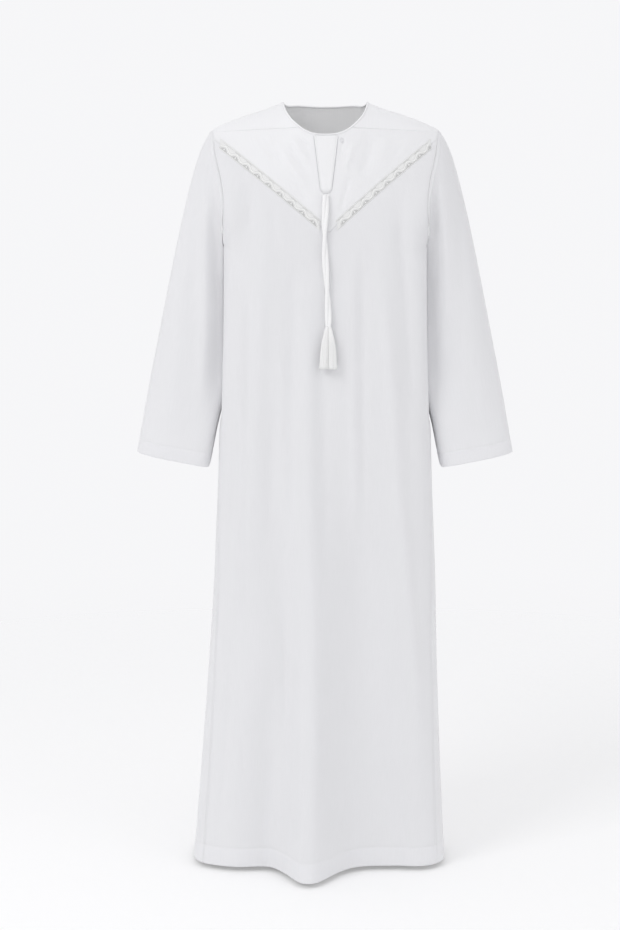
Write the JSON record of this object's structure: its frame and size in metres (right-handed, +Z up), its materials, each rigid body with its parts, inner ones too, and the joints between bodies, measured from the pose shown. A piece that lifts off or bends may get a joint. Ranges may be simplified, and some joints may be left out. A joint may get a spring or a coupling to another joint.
{
  "type": "thobe robe",
  "caption": "Ankle-length collarless robe in its worn hollow form, with a V yoke, raised bands, a tapered placket, long straight sleeves and a hanging tassel cord.",
  "frame": {"origin": "centre of the neck base between the tops of the shoulders, where the wearer holds the robe up", "axes": "+X towards the wearer's left, -Y towards the front, +Z up"},
  "size_m": [0.7336, 0.3384, 1.483],
  "materials": {
    "cloth_white": "fine white cloth with a soft satin sheen",
    "yoke_white": "fine white cloth, backed and smooth",
    "binding_white": "satin bias binding",
    "placket_white": "stitched cloth facing",
    "band_white": "white embroidered band with a grey-white leaf repeat",
    "cord_white": "braided silk cord",
    "tassel_white": "silk thread tassel"
  },
  "bodies": {
    "root": {"shoulder_yoke": "yoke_white", "front_yoke": "yoke_white", "front_panel": "cloth_white", "back_panel": "cloth_white", "gore_left": "cloth_white", "gore_right": "cloth_white", "sleeve_left": "cloth_white", "sleeve_right": "cloth_white", "neck_binding": "binding_white", "placket": "placket_white", "trim_left": "band_white", "trim_right": "band_white", "tassel_cord": "cord_white", "tassel": "tassel_white"}
  },
  "joints": []
}
